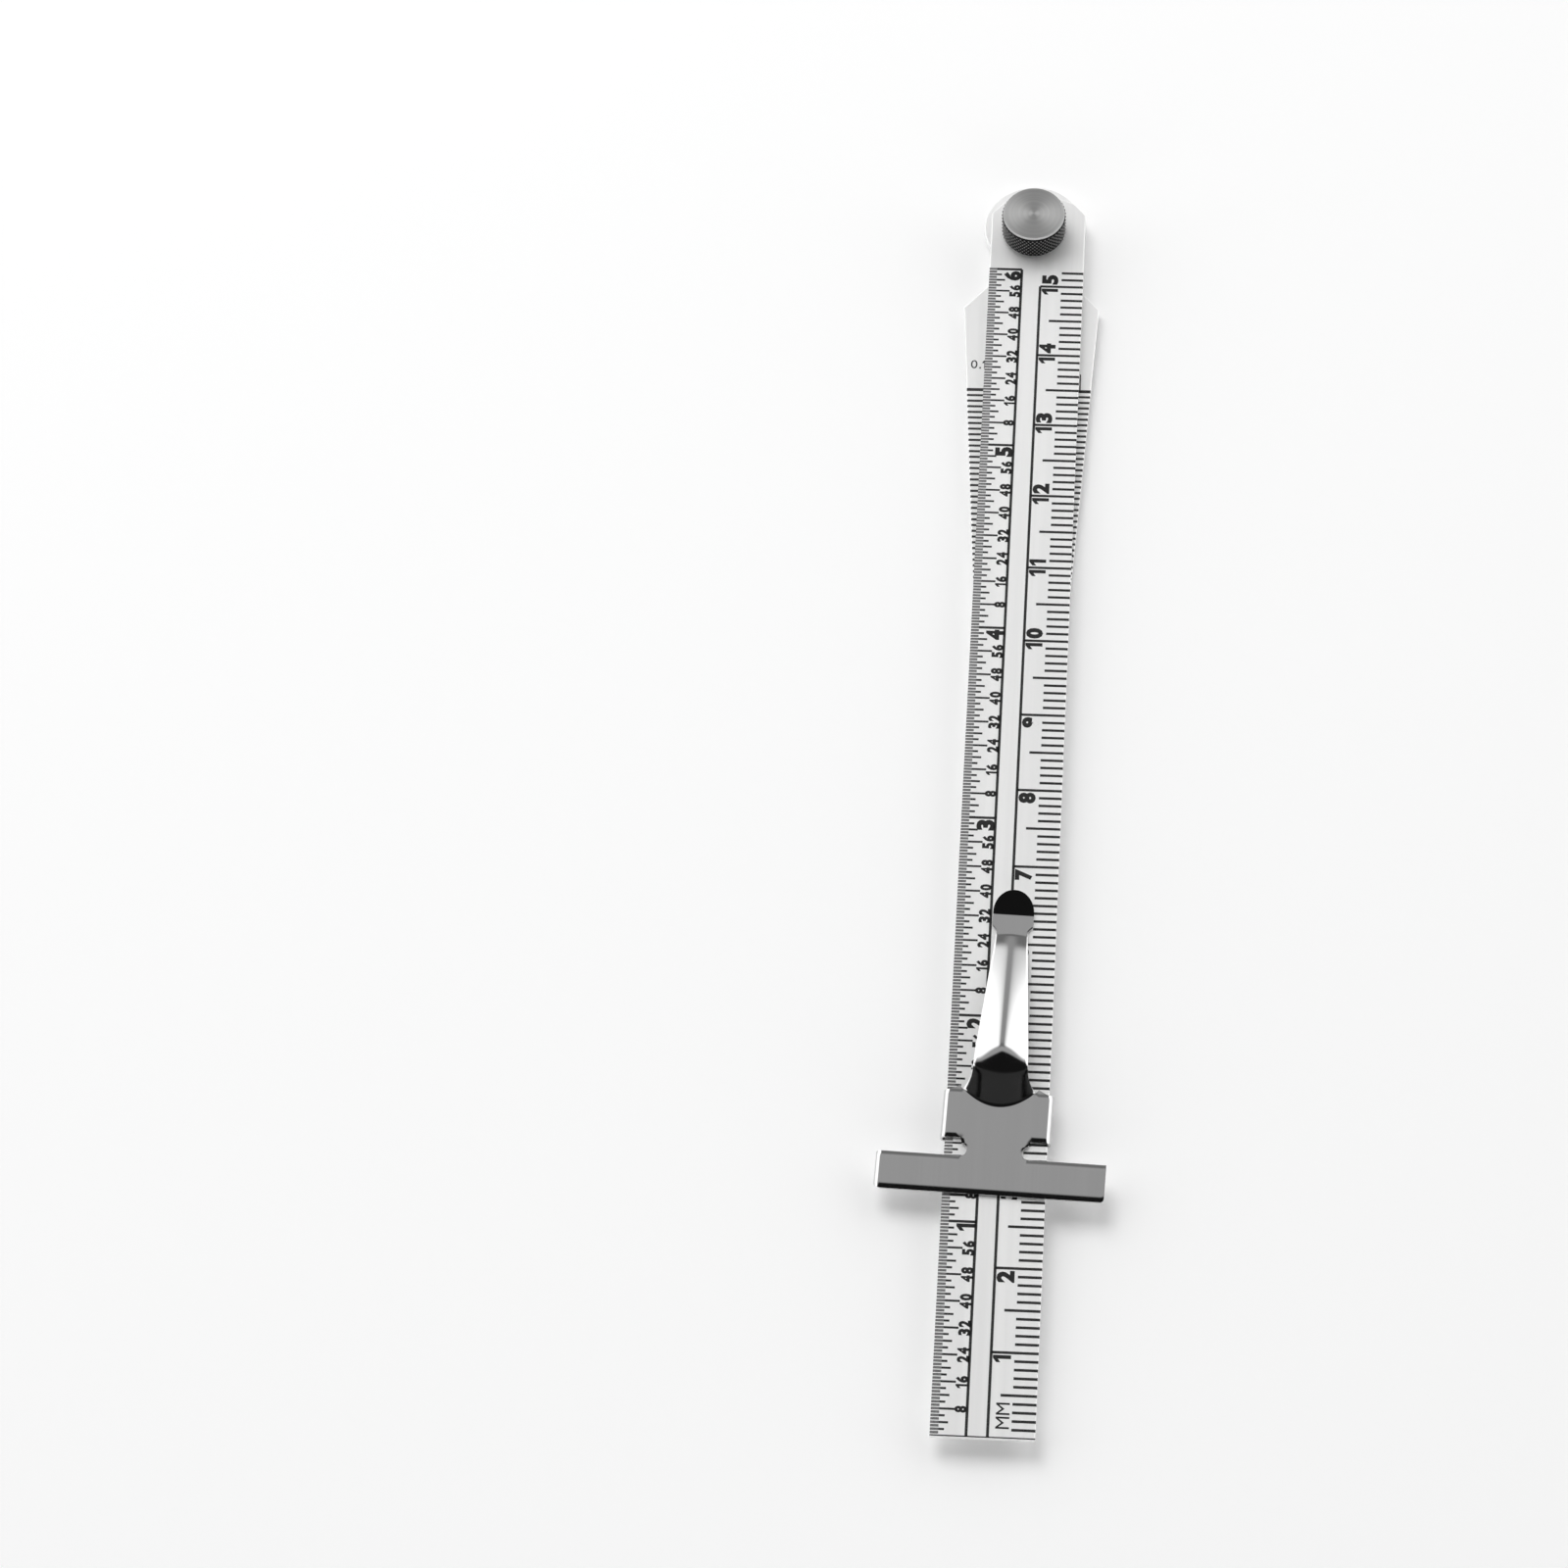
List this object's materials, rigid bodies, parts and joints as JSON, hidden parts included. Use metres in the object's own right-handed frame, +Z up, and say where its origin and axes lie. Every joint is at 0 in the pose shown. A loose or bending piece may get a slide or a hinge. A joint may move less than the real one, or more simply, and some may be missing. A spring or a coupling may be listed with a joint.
{
  "type": "taper gauge",
  "caption": "Pocket taper gauge: a graduated rule and a taper blade that turn on one clamping pivot, with a folded depth clip that slides along the rule.",
  "frame": {"origin": "the pivot's axis at the flat underside of the pivot stud's head, on which the gauge rests", "axes": "+Y along the rule from its zero end towards the pivot and the round head, +X towards the rule's millimetre edge, +Z up through the thumb nut, along the pivot's axis"},
  "size_m": [0.0259, 0.1656, 0.0069],
  "materials": {
    "satin_steel": "satin",
    "polished_steel": "polished",
    "turned_steel": "turned"
  },
  "bodies": {
    "rule": {"rule": "satin_steel"},
    "blade": {"taper_blade": "satin_steel", "pivot_stud": "turned_steel", "spacer_washer": "turned_steel"},
    "nut": {"thumb_nut": "turned_steel"},
    "clip": {"depth_clip": "polished_steel"}
  },
  "joints": [
    {"name": "blade_pivot", "type": "hinge", "parent": "rule", "child": "blade", "pos_m": [0, 0, 0.00165], "axis": [0, 0, 1], "continuous": true},
    {"name": "nut_turn", "type": "hinge", "parent": "blade", "child": "nut", "pos_m": [0, 0, 0.00292], "axis": [0, 0, 1], "range_deg": [0, 360]},
    {"name": "clip_slide", "type": "slide", "parent": "rule", "child": "clip", "axis": [0, 1, 0], "range_m": [-0.0285, 0.087]}
  ]
}
